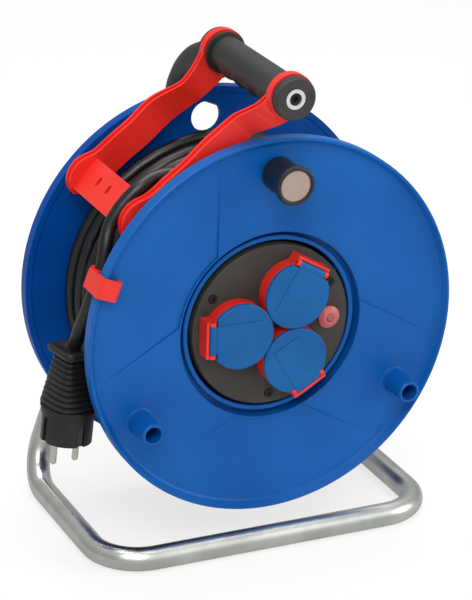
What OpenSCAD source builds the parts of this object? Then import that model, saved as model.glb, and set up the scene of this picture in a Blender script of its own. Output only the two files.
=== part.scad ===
// Cord reel: a drum that turns on a bent steel tube stand, with a carrying
// grip and a cable guide above it, three covered sockets and an overload
// switch in the drum's front bowl, and the wound cord with its plug.
// Frame: the floor is z = 0, +Z is up, the socket side faces -Y, and the
// origin lies midway between the reel's sides and between its two ends.

/* [Drum] */
// Outer radius of the two flanges
flange_r = 145; // [140:1:150]
// Clear width between the flanges
drum_gap = 120; // [118:1:124]
// Thickness of a flange
flange_t = 4; // [3:0.5:5]
// Radial width of the lip at a flange's rim
lip_w = 5.5; // [4:0.5:7]
// Height of the lip above the flange's outer face
lip_h = 5.4; // [3:0.2:6.2]
// Outer radius of the winding core
core_r = 77.5; // [74:0.5:80]
// Wall of the winding core
core_wall = 3; // [2:0.5:4]
// Outer radius of the wound cord
pack_r = 117; // [100:1:118]
// Width of the raised bands that run from the bowl to the rim
band_w = 88; // [70:1:100]
// Depth of the sectors between the bands, at the bowl
sector_sink = 1.4; // [0.6:0.2:2]
// Diameter of the hole through the rear flange
hand_hole_d = 24; // [18:1:28]
// Distance of that hole from the drum's axis
hand_hole_at = 121.8; // [118:0.2:123]

/* [Bowl] */
// Radius of the bowl's mouth in the front flange
mouth_r = 72.2; // [71.6:0.1:72.6]
// Inner radius of the bowl
bowl_r = 65; // [64.4:0.1:65.4]
// Wall of the bowl
bowl_wall = 3.5; // [2.5:0.5:3.5]
// Depth of the bowl's rim behind the front face
rim_depth = 4; // [3:0.5:6]
// Depth of the groove round the bowl's rim
groove_depth = 9.5; // [7:0.5:11]
// Depth of the bowl behind the front face
bowl_depth = 52; // [48:1:56]
// Radius of the socket dish
dish_r = 62.2; // [61:0.2:62.6]
// Depth of the socket dish's floor behind the front face
dish_depth = 1.1; // [0.5:0.1:3]
// Thickness of the socket dish
dish_t = 2.5; // [2:0.5:3.5]
// Distance of the dish screws from the drum's axis
dish_screw_at = 54.3; // [53:0.1:54.6]
// Diameter of a dish screw's shank
dish_screw_d = 4; // [3:0.5:5]

/* [Sockets] */
// Distance of a socket's centre from the drum's axis
socket_at = 29.2; // [29.1:0.1:29.6]
// Radius of the plug recess
recess_r = 19.75; // [19.25:0.25:20]
// Depth of the plug recess
recess_depth = 17.5; // [16:0.5:18]
// Outer radius of a socket's collar
collar_r = 24.9; // [24:0.1:24.9]
// Height of a collar above the dish's floor
collar_h = 10.6; // [9:0.2:12]
// Radius of a lid
lid_r = 25.1; // [24:0.1:25.1]
// Thickness of a lid
lid_t = 3.1; // [2.5:0.1:3.5]
// Width of a lid's hinge tab
tab_w = 22; // [18:0.5:23]
// Distance of the hinge pin from the socket's centre
hinge_at = 22.5; // [22.3:0.1:23]
// Diameter of the hinge pin
hinge_pin_d = 2.4; // [2:0.1:2.8]
// Distance between the two live pins of a plug or socket
pin_pitch = 19; // [18.8:0.1:19.2]
// Diameter of a plug's pin
pin_d = 4.8; // [4:0.1:5]

/* [Overload switch] */
// Distance of the reset button from the drum's axis
reset_at = 46.5; // [46:0.5:48]
// Radius of the rubber cover round the reset button
reset_r = 8.5; // [7:0.5:9]
// Diameter of the reset button
reset_d = 6; // [5:0.5:8]
// Travel of the reset button
reset_travel = 2; // [1:0.25:2.5]

/* [Knob and posts] */
// Distance of the winding knob from the drum's axis
knob_at = 118.5; // [116:0.5:119]
// Diameter of the winding knob's body
knob_d = 25.4; // [22:0.2:25.6]
// Diameter of the winding knob at its end
knob_end_d = 29.5; // [27:0.5:30]
// Distance that the knob reaches in front of the flange's face
knob_h = 33; // [26:1:34]
// Distance that the posts reach in front of the flange's face
post_h = 26; // [20:1:28]
// Distance of the posts from the drum's axis
post_at = 119.5; // [116:0.5:120]
// Diameter of a post at its end
post_d = 16.5; // [15:0.5:18]
// Diameter of the bore of a post
post_bore_d = 12.4; // [8:0.2:13]

/* [Stand] */
// Diameter of the stand's tube
tube_d = 18; // [16:0.5:20]
// Wall of the tube
tube_wall = 1.5; // [1:0.25:2.5]
// Height of the drum's axis above the floor
axle_h = 174; // [168:1:185]
// Distance from the middle to each side tube
stand_half = 131.6; // [126:0.2:136]
// Distance of the front tube in front of the drum's middle
stand_front = 78; // [70:1:82]
// Distance of the uprights behind the drum's middle
stand_rear = 86; // [85:1:90]
// Bend radius of the two front corners
corner_r = 36; // [28:1:45]
// Bend radius of the two rear bends
bend_r = 32; // [26:1:38]
// Inward lean of the uprights
lean = 18.5; // [17.5:0.5:19.5]

/* [Bearing] */
// Diameter of the axle
axle_d = 20; // [16:0.5:24]
// Running clearance of the axle, on the radius
axle_play = 0.08; // [0.04:0.01:0.1]
// Wall of the bearing bush
bush_wall = 3; // [2:0.5:4]

/* [Grip and guide] */
// Height of the grip's axis above the drum's axis
grip_rise = 181; // [178:1:186]
// Diameter of the grip's barrel
grip_d = 26; // [24:0.5:28]
// Radius of the grip's end flanges and of its cap
grip_end_r = 15.8; // [14:0.1:16.5]
// Outer radius of the guide's two rings
ring_r = 17; // [16.5:0.1:18]
// Length of a ring
ring_w = 7; // [5:0.5:9]
// Distance from the drum's middle to the end of the grip's cap
grip_front = 91.6; // [88:0.2:95]
// Distance from the drum's middle to the rear ring's back
grip_rear = 37; // [36.5:0.1:37.2]
// Diameter of the tube inside the grip
grip_tube_d = 16; // [12:0.5:18]
// Thickness of the grip's cap
cap_t = 6.4; // [5:0.2:8]
// Thickness of the guide's arms
arm_t = 9; // [7:0.5:10]
// Thickness of the guide's crossbar
bar_t = 4; // [3:0.5:5]
// Gap between the crossbar and the flanges' outer radius
bar_inset = 4.5; // [4:0.1:5]

/* [Cord] */
// Diameter of the cord
cord_d = 10.4; // [9:0.2:10.6]

/* [Hidden] */
$fn = 96;

// Clearances
seat = 0.3;         // between pieces that move past each other
snug = 0.15;        // between pieces that are fitted together
eps = 0.1;          // reach of a cut past the face it opens
weld = 0.04;        // reach of a straight tube into a bend

// Drum: distances from its middle plane, taken forwards
inner_z = drum_gap / 2;
face_z = inner_z + flange_t;
lip_z = face_z + lip_h;
lip_back = 0.5;
dish_z = face_z - dish_depth;
bowl_z = face_z - bowl_depth;
rim_z = face_z - rim_depth;
rim_r = bowl_r + bowl_wall;
groove_z = face_z - groove_depth;
collar_z = dish_z + collar_h;
lid_z = collar_z + seat;
recess_z = collar_z - recess_depth;
hinge_r = (lid_t + 1.7) / 2;
hinge_z = lid_z + lid_t - hinge_r;
ear_w = 2.9;
ear_in = tab_w / 2 + seat;
bar_out = hinge_at + hinge_r + seat + 2.3;
insert_r = recess_r + 1.75;
dish_skirt = 9;
spigot_r = core_r - core_wall - snug;
knob_angle = 90;
post_angles = [210, 330];
socket_angles = [180, 60, 300];
dish_screw_angles = [30, 150, 270];
knob_end = face_z + knob_h;
post_end = face_z + post_h;

// Stand and bracket: distances from the drum's axis and middle plane
sleeve_r = tube_d / 2 + 4;
rear_face = stand_rear + sleeve_r;
bracket_face = stand_rear - sleeve_r;
elbow_r = 14.5;
elbow_rear = 102;
elbow_line = [[39.2, 172], [42, 171.7], [48, 170.4], [59, 166.6], [74.5, 159.8], [88, 149.4],
    [97.5, 137.2], [101.2, 129.8], [elbow_rear, 123]];
mid_y = (max(grip_front, knob_end) - elbow_rear - elbow_r) / 2;
tube_z = tube_d / 2 - axle_h;
rise_x = stand_half - bend_r * sin(lean);
rise_z = tube_z + bend_r * cos(lean);
hub_half = 24;
leg_low = 97;
tube_tip = 117;
seat_end = 44;
hub_r = 34;
nut_sink = 8;
stud_r = 6;
axle_seat = 10;
axle_end_z = bowl_z - bowl_wall - 10.6;
bush_front = axle_end_z - seat;
bush_rear = face_z + 2;
bush_r = axle_d / 2 + axle_play + bush_wall;
hub_wall = 4;
screw_head_r = 4;
screw_head_t = 2.2;
ring_front = grip_front - cap_t - 0.2;

// Cord
cord_r = cord_d / 2;
plug_top = [-140.5, -30, -8.6];
plug_tilt = 5.4;
plug_turn = 12;
route = [[-21, -38, 120.8], [-50, -38, 117.4], [-79.1, -37.5, 116.7],
    [-95.1, -40.2, 111.3], [-106.2, -40.2, 102], [-113.6, -40.2, 93],
    [-119.2, -41, 83.2], [-123, -44.5, 72.2], [-125.9, -46.8, 59.6],
    [-129.3, -47, 48.3], [-132.6, -46.5, 38.2], [-135.8, -43, 24.4],
    [-138.6, -36, 8.2], [-140.5, -30, -8.6]];
clip_angle = 159.5;
clip_at = 138;
clip_z = 47;

// Inward distance of an upright's axis from its side tube, at height z
function upright_x(z) = rise_x - (z - rise_z) * tan(lean);
// Point on a circle round the drum's axis
function polar(r, a) = [r * cos(a), r * sin(a)];
// Catmull-Rom curve through a list of points, with n steps a span
function spline(p, n) = [for (i = [0 : len(p) - 2]) for (j = [0 : n - 1])
    let(t = j / n, a = p[max(i - 1, 0)], b = p[i], c = p[i + 1],
        d = p[min(i + 2, len(p) - 1)])
    0.5 * (2 * b + (c - a) * t + (2 * a - 5 * b + 4 * c - d) * t * t
        + (3 * b - a - 3 * c + d) * t * t * t), p[len(p) - 1]];
function unit(v) = v / norm(v);

// Skin over rings that have the same number of points; cap lists the
// triangles that fill a ring
module skin(rings, cap) {
    n = len(rings[0]);
    m = len(rings);
    polyhedron(points = [for (r = rings) each r],
        faces = [for (c = cap) c,
            for (i = [0 : m - 2]) for (k = [0 : n - 1]) let(l = (k + 1) % n)
                each [[i * n + k, (i + 1) * n + l, i * n + l],
                    [i * n + k, (i + 1) * n + k, (i + 1) * n + l]],
            for (c = cap) [for (k = [2, 1, 0]) (m - 1) * n + c[k]]]);
}

// Triangles that fill a convex ring of n points
function fan(n) = [for (k = [1 : n - 2]) [0, k, k + 1]];

// Places what is drawn with the drum's axis as +Z, towards the front
module on_drum() {
    translate([0, mid_y, axle_h]) rotate([90, 0, 0]) children();
}

// Places what is drawn from the drum's centre, with the frame's directions
module from_centre() {
    translate([0, mid_y, axle_h]) children();
}

// Places what is drawn at a radius and an angle, turned to that angle
module at_polar(r, a) {
    rotate([0, 0, a]) translate([r, 0, 0]) children();
}

module ring(r_out, r_in, z0, z1) {
    translate([0, 0, z0]) difference() {
        cylinder(r = r_out, h = z1 - z0);
        translate([0, 0, -eps]) cylinder(r = r_in, h = z1 - z0 + 2 * eps);
    }
}

module disc(r, z0, z1) {
    translate([0, 0, z0]) cylinder(r = r, h = z1 - z0);
}

// ---- Stand ----

// Length of an upright's straight run up to the height z
function rise_to(z) = (z - rise_z) / cos(lean);

// Straight run of tube along +Z, which reaches a hair into the bends
module tube_run(h) {
    translate([0, 0, -weld]) difference() {
        cylinder(r = tube_d / 2, h = h + 2 * weld);
        translate([0, 0, -eps])
            cylinder(r = tube_d / 2 - tube_wall, h = h + 2 * weld + 2 * eps);
    }
}

// Quarter bend of tube, from +X round to +Y, a hair slimmer than the runs
module tube_bend(r) {
    rotate_extrude(angle = 90) translate([r, 0]) difference() {
        circle(r = tube_d / 2 - weld / 2);
        circle(r = tube_d / 2 - tube_wall + weld / 2);
    }
}

module half_stand() {
    translate([corner_r - stand_half, corner_r - stand_front, tube_z])
        rotate([0, 0, 180]) tube_bend(corner_r);
    translate([-stand_half, corner_r - stand_front, tube_z])
        rotate([-90, 0, 0])
            tube_run(stand_rear + stand_front - corner_r - bend_r);
    translate([-rise_x, stand_rear - bend_r, rise_z]) rotate([0, 90 + lean, 0])
        tube_bend(bend_r);
    translate([-rise_x, stand_rear, rise_z]) rotate([0, lean, 0])
        tube_run(rise_to(tube_tip));
}

module foot_tube() {
    color("silver") from_centre() difference() {
        union() {
            translate([corner_r - stand_half, -stand_front, tube_z])
                rotate([0, 90, 0]) tube_run(2 * (stand_half - corner_r));
            half_stand();
            mirror([1, 0, 0]) half_stand();
        }
        bracket_screw_places() disc(2 + snug, stand_rear, rear_face);
    }
}

// Places what is drawn with each upright's axis as +Z, from its bend up
module on_uprights() {
    for (s = [0, 1]) mirror([s, 0, 0])
        translate([-rise_x, stand_rear, rise_z]) rotate([0, lean, 0]) children();
}

// ---- Brackets on the uprights ----

// Cross-piece that carries the axle, ribbed at its back
module hub_bracket() {
    half = hub_half - 2;
    color("#26272a") from_centre() difference() {
        union() {
            on_uprights() disc(sleeve_r, rise_to(-hub_half), rise_to(hub_half));
            rotate([90, 0, 0]) translate([0, 0, 1 - rear_face])
                linear_extrude(rear_face - bracket_face - 2)
                    polygon([[-upright_x(-half), -half], [upright_x(-half), -half],
                        [upright_x(half), half], [-upright_x(half), half]]);
            rotate([-90, 0, 0]) disc(hub_r, bracket_face, rear_face);
        }
        on_uprights() disc(tube_d / 2 + snug, rise_to(-hub_half) - 1,
            rise_to(hub_half) + 1);
        rotate([90, 0, 0]) translate([0, 0, -rear_face])
            linear_extrude(rear_face - bracket_face - 5)
                for (m = [0, 1], z = [1.5, -half + 3]) mirror([m, 0])
                    polygon([[hub_r + 3, z], [upright_x(z) - sleeve_r - 2, z],
                        [upright_x(z + half - 4.5) - sleeve_r - 2, z + half - 4.5],
                        [hub_r + 3, z + half - 4.5]]);
        rotate([-90, 0, 0]) {
            disc(axle_d / 2 + snug, 0, bracket_face + axle_seat);
            disc(stud_r + snug, 0, rear_face);
            disc(13, rear_face - nut_sink, rear_face + eps);
        }
        screw_bores();
    }
}

// Round elbow that carries the grip, on two legs that cap the uprights
module shoulder() {
    n = 36;
    path = spline([for (p = elbow_line) [0, p[0], p[1]]], 3);
    legs = [[upright_x(113), stand_rear, 113], [26, 91, 123.2], [9, 99, 129]];
    color("#26272a") from_centre() difference() {
        union() {
            skin([for (i = [0 : len(path) - 1])
                let(p = path[i],
                    t = unit(path[min(i + 1, len(path) - 1)]
                        - path[max(i - 1, 0)]),
                    v = cross(t, [1, 0, 0]))
                [for (k = [0 : n - 1]) p + elbow_r * (cos(k * 360 / n) * [1, 0, 0]
                    + sin(k * 360 / n) * v)]], fan(n));
            on_uprights() disc(sleeve_r, rise_to(leg_low), rise_to(tube_tip) + 3);
            for (m = [0, 1], i = [0, 1]) mirror([m, 0, 0]) hull()
                for (p = [legs[i], legs[i + 1]]) translate(p) scale([1, 1.5, 1])
                    sphere(r = 5.5, $fn = 24);
            translate([0, 0, grip_rise]) rotate([-90, 0, 0]) {
                disc(ring_r - 0.6, grip_rear + snug, grip_rear + 3);
                disc(grip_tube_d / 2 + 2.4, grip_rear + 2.5, seat_end + 1.5);
            }
        }
        on_uprights() disc(tube_d / 2 + snug, rise_to(leg_low) - 1,
            rise_to(tube_tip) + snug);
        translate([0, 0, grip_rise]) rotate([-90, 0, 0])
            disc(grip_tube_d / 2 + snug, 0, seat_end + snug);
        screw_bores();
    }
}

// Screws through the sleeves and the tube in them, driven from behind
module bracket_screw_places() {
    for (s = [-1, 1], z = [-14, 14, 106])
        translate([s * upright_x(z), 0, z]) rotate([-90, 0, 0]) children();
}

module screw_bores() {
    bracket_screw_places() {
        disc(2 + snug, stand_rear, rear_face + eps);
        disc(screw_head_r + snug, rear_face - screw_head_t, rear_face + eps);
    }
}

module bracket_screws() {
    color("silver") from_centre() bracket_screw_places() {
        disc(2, stand_rear + 3, rear_face - screw_head_t);
        disc(screw_head_r, rear_face - screw_head_t, rear_face - snug);
    }
}

// ---- Bearing ----

module axle() {
    color("silver") on_drum() {
        disc(stud_r, 1 - rear_face, -bracket_face - axle_seat);
        disc(axle_d / 2, -bracket_face - axle_seat, axle_end_z);
        disc(axle_d / 2 + 5, -bracket_face, -bush_rear - seat);
    }
}

module axle_nut() {
    color("silver") on_drum() translate([0, 0, -rear_face + 1])
        difference() {
            cylinder(r = 10.5, h = nut_sink - 1, $fn = 6);
            translate([0, 0, -eps]) cylinder(r = stud_r, h = nut_sink);
        }
}

module axle_washer() {
    color("silver") on_drum()
        ring(bush_r + 1.5, 3.2, axle_end_z, axle_end_z + 2.4);
}

module axle_screw() {
    color("silver") on_drum()
        disc(7, axle_end_z + 2.4, axle_end_z + 7.2);
}

module bearing_bush() {
    color("white") on_drum()
        ring(bush_r, axle_d / 2 + axle_play, -bush_rear, bush_front);
}

// ---- Grip ----

// Places what is drawn with the grip's axis as +Z, towards the front
module on_grip() {
    on_drum() translate([0, grip_rise, 0]) children();
}

grip_back = grip_rear - ring_w - snug;
grip_nose = ring_front - ring_w - snug;

module grip_tube() {
    color("silver") on_grip() difference() {
        disc(grip_tube_d / 2, -seat_end, ring_front);
        disc(3.2, ring_front - 30, ring_front + eps);
    }
}

// Barrel with a flange at each end and finger waves on its underside
module grip() {
    n = 4;
    span = grip_nose + grip_back - 22;
    color("#2b2c2f") on_grip() difference() {
        union() {
            disc(grip_d / 2, -grip_back, grip_nose);
            for (k = [0 : n - 1]) at_polar(2.4, -90)
                translate([0, 0, 11 - grip_back + (k + 0.5) * span / n])
                    sphere(r = grip_d / 2, $fn = 32);
            disc(grip_end_r - 0.6, -grip_back, 4.4 - grip_back);
            disc(grip_end_r, 0.8 - grip_back, 3.6 - grip_back);
            disc(grip_end_r - 0.6, grip_nose - 4.4, grip_nose);
            disc(grip_end_r, grip_nose - 3.6, grip_nose - 0.8);
        }
        disc(grip_tube_d / 2 + snug, -grip_back - eps, grip_nose + eps);
    }
}

module grip_cap() {
    z = ring_front + snug;
    color("#2b2c2f") on_grip() difference() {
        union() {
            disc(grip_end_r, z, grip_front - 1.2);
            translate([0, 0, grip_front - 1.2])
                cylinder(r1 = grip_end_r, r2 = grip_end_r - 1.2, h = 1.2);
        }
        disc(7.4 + snug, z - eps, grip_front + eps);
    }
}

module grip_ferrule() {
    z = ring_front + snug;
    color("silver") on_grip() difference() {
        disc(7.4, z, grip_front - 0.3);
        disc(4.7, z + 1.5, grip_front);
        disc(3.2, z - eps, grip_front);
    }
}

module grip_screw() {
    z = ring_front + snug + 1.5;
    color("black") on_grip() difference() {
        union() {
            disc(3, ring_front - 26, z);
            disc(4.5, z, z + 3.4);
        }
        translate([0, 0, z + 1]) cylinder(r = 2.4, h = 3, $fn = 6);
    }
}

// ---- Cable guide ----

// Stations of an arm: angle and radius about the drum's axis, half width, and
// how far the front and the rear arm have come from their rings to their lanes
arm_stations = [
    [91.2, flange_r + 32, 14, 0, 0], [94.2, flange_r + 21.4, 11.6, 0.3, 0],
    [98.1, flange_r + 12, 9.8, 0.82, 0.04],
    [100.2, flange_r + 7.4, 9.8, 0.93, 0.25],
    [102.4, flange_r + 3.4, 10.2, 0.97, 0.55],
    [107.6, flange_r - 3.6, 11.2, 1, 1], [116.2, flange_r - 10.9, 11.1, 1, 1],
    [124.2, flange_r - 12.8, 11, 1, 1], [131.5, flange_r - 13, 11.2, 1, 1],
    [137.3, flange_r - 9.6, 13.3, 1, 1], [141, flange_r - 10.6, 11, 1, 1],
    [143.4, flange_r - 13.8, 6.6, 1, 1]];
arm_lane = inner_z - 5 - arm_t / 2;
bar_r = flange_r - bar_inset;
slot_r = 2;
slot_reach = 1.8;

// Arm that starts at the distance from_z in front of the drum's middle and
// ends at to_z; column picks its share in the stations
module guide_arm(from_z, to_z, column) {
    s = spline([for (a = arm_stations) [each polar(a[1], a[0]), a[2],
        a[column]]], 3);
    lip = 2.2;
    sink = 1.8;
    skin([for (i = [0 : len(s) - 1])
        let(p = s[i], q = s[min(i + 1, len(s) - 1)], o = s[max(i - 1, 0)],
            t = unit([q[0] - o[0], q[1] - o[1]]), n = [t[1], -t[0]],
            z = from_z + (to_z - from_z) * p[3], w = p[2],
            h = (ring_w + (arm_t - ring_w) * min(1, p[3])) / 2)
        [for (c = [[w, h], [w, h - lip], [w - sink, h - lip],
                [w - sink, lip - h], [w, lip - h], [w, -h], [-w, -h],
                [-w, lip - h], [sink - w, lip - h], [sink - w, h - lip],
                [-w, h - lip], [-w, h]])
            [p[0] + n[0] * c[0], p[1] + n[1] * c[0], z + c[1]]]],
        [[0, 1, 2], [0, 2, 9], [0, 9, 11], [9, 10, 11], [2, 3, 8], [2, 8, 9],
            [3, 4, 5], [3, 5, 6], [3, 6, 8], [6, 7, 8]]);
}

module cable_guide() {
    color("#e0251f") difference() {
        union() {
            on_drum() {
                guide_arm(ring_front - ring_w / 2, arm_lane, 3);
                guide_arm(ring_w / 2 - grip_rear, -arm_lane, 4);
                rotate([0, 0, 131.8]) translate([0, 0, -arm_lane])
                    rotate_extrude(angle = 11.6)
                        translate([bar_r - bar_t, 0]) square([bar_t, 2 * arm_lane]);
            }
            on_grip() {
                disc(ring_r, ring_front - ring_w, ring_front);
                disc(ring_r, -grip_rear, ring_w - grip_rear);
            }
        }
        on_grip() {
            disc(grip_tube_d / 2 + snug, -grip_rear - eps, ring_front + eps);
            disc(grip_end_r + seat, ring_w - grip_rear, ring_front - ring_w);
        }
        on_drum() for (z = [-20, -2]) at_polar(bar_r - bar_t - 2, 137)
            translate([0, 0, z]) rotate([0, 90, 0]) {
                for (y = [-slot_reach, slot_reach]) translate([0, y, 0])
                    cylinder(r = slot_r, h = bar_t + 4);
                translate([-slot_r, -slot_reach, 0])
                    cube([2 * slot_r, 2 * slot_reach, bar_t + 4]);
            }
    }
}

// ---- Cable clip, cord and plug ----

// Clip that hooks over the front flange's rim and holds the cord behind it
module cable_clip() {
    tip = knob_at + knob_d / 2 + seat;
    out = flange_r + 0.4;
    color("#e0251f") on_drum() rotate([0, 0, clip_angle])
        translate([0, 7.5, 0]) rotate([90, 0, 0]) linear_extrude(15)
            difference() {
                union() {
                    polygon([[out + 2.6, clip_z], [out + 2.6, lip_z + 2],
                        [out + 1.4, lip_z + 3], [tip + 2, lip_z + 3],
                        [tip, lip_z + 1.4], [tip, face_z + 0.6],
                        [tip + 2.2, face_z + 0.6], [tip + 2.6, lip_z + 0.5],
                        [out, lip_z + 0.5], [out, clip_z]]);
                    translate([clip_at, clip_z]) circle(r = cord_r + 2.9);
                    translate([clip_at, clip_z])
                        square([out + 2.6 - clip_at, cord_r + 2.4]);
                }
                translate([clip_at, clip_z]) circle(r = cord_r + 0.7);
                translate([clip_at - 20, clip_z - 3]) square([20, 6]);
            }
}

// Cord that runs from the winding over the crossbar to the plug
module free_cord() {
    path = spline(route, 2);
    n = 10;
    color("#1d1d1f") from_centre()
        skin([for (i = [0 : len(path) - 1])
            let(p = path[i],
                t = unit(path[min(i + 1, len(path) - 1)] - path[max(i - 1, 0)]),
                u = unit(cross(t, [0, 1, 0])), v = cross(t, u))
            [for (k = [0 : n - 1]) p + cord_r * (cos(k * 360 / n) * u
                + sin(k * 360 / n) * v)]], fan(n));
}

// Places what is drawn with the plug's axis as +Z and its cord end at z = 0
module on_plug() {
    from_centre() translate(plug_top) rotate([0, plug_tilt, 0])
        rotate([180, 0, plug_turn]) children();
}

plug_body_z = 46;
plug_face_z = 72;
plug_r = 19;

// Ribbed rubber boot from the cord down to the plug's widest ring
module plug_boot() {
    color("#1d1d1f") on_plug() rotate_extrude() polygon([[0, 0], [13, 0],
        [15.5, 1.2], [15.5, 6], [12.5, 7.4], [12.5, 9],
        for (k = [0 : 5]) each [[13 + k * 1.3, 9.4 + 6 * k],
            [15.2 + k * 1.3, 11 + 6 * k], [15.2 + k * 1.3, 13.4 + 6 * k],
            [13.2 + k * 1.3, 14.8 + 6 * k]],
        [21.4, plug_body_z - 0.6], [21.4, plug_body_z], [0, plug_body_z]]);
}

// Plug's face end, with its two earth grooves and two guide grooves
module plug_body() {
    color("#1d1d1f") on_plug() difference() {
        union() {
            disc(plug_r + 1.2, plug_body_z, plug_body_z + 5);
            disc(plug_r, plug_body_z + 5, plug_face_z);
        }
        for (a = [0, 180]) at_polar(plug_r - 1.7, a)
            translate([0, -3, plug_body_z + 7]) cube([6, 6, plug_face_z]);
        for (a = [90, 270]) at_polar(plug_r - 2.2, a)
            translate([0, -2.6, plug_body_z + 9]) cube([6, 5.2, plug_face_z]);
        for (s = [-1, 1]) translate([s * pin_pitch / 2, 0, 0])
            disc(pin_d / 2, plug_face_z - 8, plug_face_z + eps);
    }
}

module plug_pins() {
    color("silver") on_plug() for (s = [-1, 1])
        translate([s * pin_pitch / 2, 0, 0]) {
            disc(pin_d / 2, plug_face_z - 8, plug_face_z + 17.6);
            translate([0, 0, plug_face_z + 17.6])
                cylinder(r1 = pin_d / 2, r2 = pin_d / 2 - 1.4, h = 1.4);
        }
}

module plug_earth() {
    color("silver") on_plug() for (a = [90, 270])
        at_polar(plug_r - 2.2, a)
            translate([0, -2, plug_body_z + 9]) cube([1, 4, 15]);
}

// ---- Drum ----

// Shallow wedge-shaped sinks of a flange's outer face, between three bands
module sector_sinks() {
    difference() {
        rotate_extrude() polygon([[mouth_r + 1.4, face_z - sector_sink],
            [flange_r - lip_w - 2, face_z], [flange_r - lip_w - 2, face_z + eps],
            [mouth_r + 1.4, face_z + eps]]);
        for (a = [90, 210, 330]) rotate([0, 0, a])
            translate([0, -band_w / 2, face_z - 10]) cube([flange_r, band_w, 20]);
    }
}

module core_screw_places() {
    for (a = [45 : 90 : 315]) at_polar(core_r - core_wall - 3, a) children();
}

// Post moulded on the front flange, with a foot that flares into the face
module post() {
    r = post_d / 2;
    rotate_extrude() polygon([[0, face_z - 1], [r + 2.6, face_z - 1],
        [r + 2.6, face_z], [r + 1.4, face_z + 0.7], [r + 0.7, face_z + 2.2],
        [r + 0.5, face_z + 4], [r, post_end - 0.8], [r - 0.8, post_end],
        [0, post_end]]);
}

// Flange, bowl and posts, in one moulding
module front_flange() {
    color("#0b62b8") on_drum() difference() {
        union() {
            difference() {
                rotate_extrude() polygon([[0, bowl_z - bowl_wall],
                    [rim_r, bowl_z - bowl_wall], [rim_r, groove_z - 2.5],
                    [spigot_r, groove_z - 2.5], [spigot_r, inner_z],
                    [flange_r - lip_w, inner_z],
                    [flange_r - lip_w + 1, inner_z - lip_back],
                    [flange_r, inner_z - lip_back], [flange_r, lip_z - 0.8],
                    [flange_r - 0.8, lip_z], [flange_r - 2, lip_z],
                    [flange_r - lip_w + 0.6, face_z + 1],
                    [flange_r - lip_w - 1, face_z], [mouth_r + 0.5, face_z],
                    [mouth_r, face_z - 0.5], [mouth_r, groove_z],
                    [rim_r, groove_z], [rim_r, rim_z - 0.5],
                    [rim_r - 0.5, rim_z], [bowl_r + 0.5, rim_z],
                    [bowl_r, rim_z - 0.5], [bowl_r, bowl_z], [0, bowl_z]]);
                sector_sinks();
            }
            for (a = post_angles) at_polar(post_at, a) post();
            at_polar(knob_at, knob_angle) disc(9, inner_z + 1, face_z + 2);
            for (a = dish_screw_angles) at_polar(dish_screw_at, a) {
                disc(4.6, bowl_z - 1, dish_z - dish_t);
                translate([0, -1.25, bowl_z - 1])
                    cube([bowl_r - dish_screw_at + 1, 2.5,
                        dish_z - dish_skirt - bowl_z]);
            }
        }
        for (a = post_angles) at_polar(post_at, a)
            disc(post_bore_d / 2, inner_z + 2, post_end + eps);
        at_polar(knob_at, knob_angle) disc(2.5 + snug, inner_z + seat, face_z + 3);
        for (a = dish_screw_angles) at_polar(dish_screw_at, a)
            disc(dish_screw_d / 2 + snug, dish_z - dish_t - 12, dish_z);
    }
}

// Flange with the hub that takes the bearing bush
module rear_flange() {
    color("#0b4fa8") on_drum() mirror([0, 0, 1]) difference() {
        union() {
            difference() {
                rotate_extrude() polygon([[0, inner_z],
                    [flange_r - lip_w, inner_z],
                    [flange_r - lip_w + 1, inner_z - lip_back],
                    [flange_r, inner_z - lip_back], [flange_r, lip_z - 0.8],
                    [flange_r - 0.8, lip_z], [flange_r - 2, lip_z],
                    [flange_r - lip_w + 0.6, face_z + 1],
                    [flange_r - lip_w - 1, face_z], [0, face_z]]);
                sector_sinks();
            }
            disc(bush_r + hub_wall + 3, face_z - 1, bush_rear);
            disc(bush_r + hub_wall, -bush_front + 1, inner_z + 1);
            for (a = [0 : 60 : 300]) at_polar(bush_r + hub_wall - 1, a)
                translate([0, -1.25, inner_z - 24])
                    cube([core_r - core_wall - bush_r - hub_wall - 8, 2.5, 25]);
        }
        disc(bush_r, -bush_front - 1, bush_rear + eps);
        at_polar(hand_hole_at, 90)
            disc(hand_hole_d / 2, inner_z - eps, face_z + eps);
        core_screw_places() {
            disc(2 + snug, inner_z - eps, face_z + eps);
            disc(screw_head_r + snug, face_z - screw_head_t, face_z + eps);
        }
    }
}

module core_barrel() {
    color("#0b4fa8") on_drum() difference() {
        union() {
            ring(core_r, core_r - core_wall, -inner_z, inner_z);
            core_screw_places() disc(4, snug - inner_z, -inner_z / 2);
        }
        core_screw_places() disc(2 + snug, -inner_z - eps, 4 - inner_z / 2);
        gland_place() cylinder(r = cord_r + 2 + snug, h = core_wall * 3);
    }
}

module core_screws() {
    color("silver") on_drum() core_screw_places() {
        disc(2, -face_z + screw_head_t, -inner_z / 2 - 4);
        disc(screw_head_r, snug - face_z, screw_head_t - face_z);
    }
}

// Where the cord comes out of the core, along +Z
module gland_place() {
    rotate([0, 0, 300]) translate([core_r - core_wall - 4, 0, -28])
        rotate([0, 90, 0]) children();
}

module cord_gland() {
    color("black") on_drum() gland_place() difference() {
        union() {
            cylinder(r = cord_r + 2, h = core_wall + 3.7);
            translate([0, 0, -2]) cylinder(r = cord_r + 5, h = 4.8, $fn = 6);
        }
        translate([0, 0, -3]) cylinder(r = cord_r + 0.1, h = 12 + core_wall);
    }
}

// Outer shape of the wound cord
module wound_cord() {
    w = inner_z - 0.3;
    color("#1d1d1f") on_drum() rotate_extrude() polygon([[core_r + 0.2, -w],
        [pack_r - 4, -w], [pack_r - 1.2, 1.2 - w], [pack_r, 4 - w],
        [pack_r, w - 4], [pack_r - 1.2, w - 1.2], [pack_r - 4, w],
        [core_r + 0.2, w]]);
}

// ---- Sockets ----

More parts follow.
